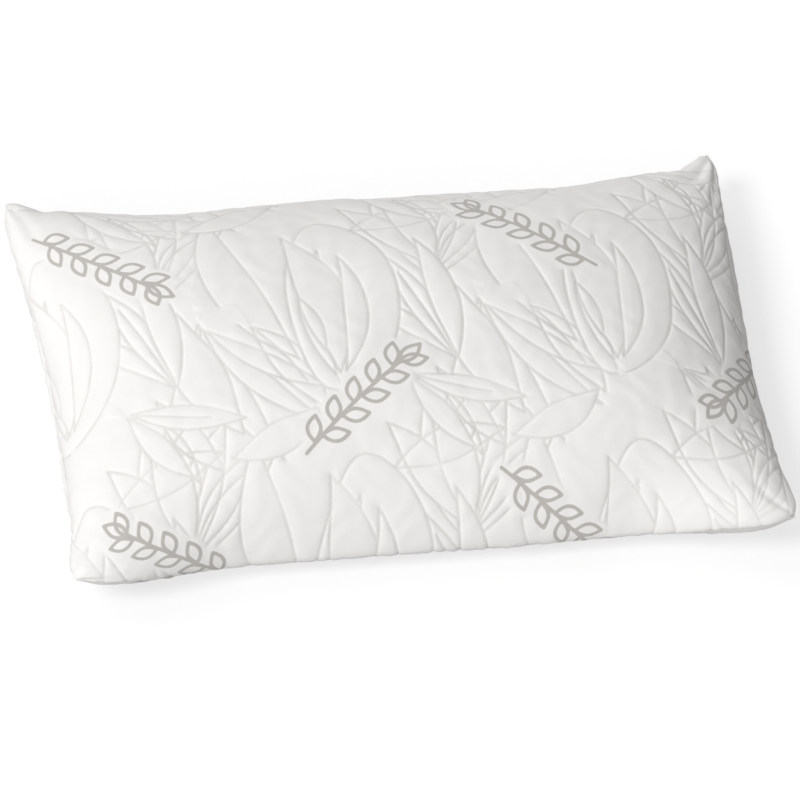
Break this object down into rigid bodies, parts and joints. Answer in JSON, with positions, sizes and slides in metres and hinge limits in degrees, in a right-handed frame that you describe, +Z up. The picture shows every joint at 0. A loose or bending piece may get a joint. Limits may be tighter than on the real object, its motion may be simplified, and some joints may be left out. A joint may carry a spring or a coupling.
{
  "type": "bed pillow",
  "caption": "Zipped bed pillow: quilted knit cover with pointed corner ears and a knife-edge seam around a crowned foam core.",
  "frame": {"origin": "on the surface that the pillow lies on, below the middle of the pillow", "axes": "+X along the long side, +Y from the front to the back side with the zip, +Z up through the crown"},
  "size_m": [0.7, 0.45, 0.13],
  "materials": {
    "cover_knit": "quilted double knit, matt with a soft sheen",
    "seam_thread": "overlock and lockstitch thread",
    "liner_knit": "thin stretch knit",
    "foam": "moulded open-cell foam",
    "zip_tape": "woven tape",
    "zip_coil": "nylon coil",
    "zip_metal": "enamelled zinc",
    "label_satin": "blank woven satin"
  },
  "bodies": {
    "pillow": {"cover_top_panel": "cover_knit", "cover_bottom_panel": "cover_knit", "cover_seam_overlock": "seam_thread", "liner_top_panel": "liner_knit", "liner_bottom_panel": "liner_knit", "foam_core": "foam", "zip_tape_upper": "zip_tape", "zip_tape_lower": "zip_tape", "zip_coil_upper": "zip_coil", "zip_coil_lower": "zip_coil", "zip_stitching_upper": "seam_thread", "zip_stitching_lower": "seam_thread", "zip_top_stops": "zip_metal", "zip_bottom_stop": "zip_metal", "care_label": "label_satin"},
    "zip_slider": {"zip_slider_body": "zip_metal"},
    "zip_pull": {"zip_pull_tab": "zip_metal"}
  },
  "joints": [
    {"name": "zip_travel", "type": "slide", "parent": "pillow", "child": "zip_slider", "axis": [-1, 0, 0], "range_m": [0, 0.436]},
    {"name": "pull_tab_pivot", "type": "hinge", "parent": "zip_slider", "child": "zip_pull", "pos_m": [0.218, 0.2031, 0.04], "axis": [0, 0, -1], "range_deg": [0, 180]}
  ]
}
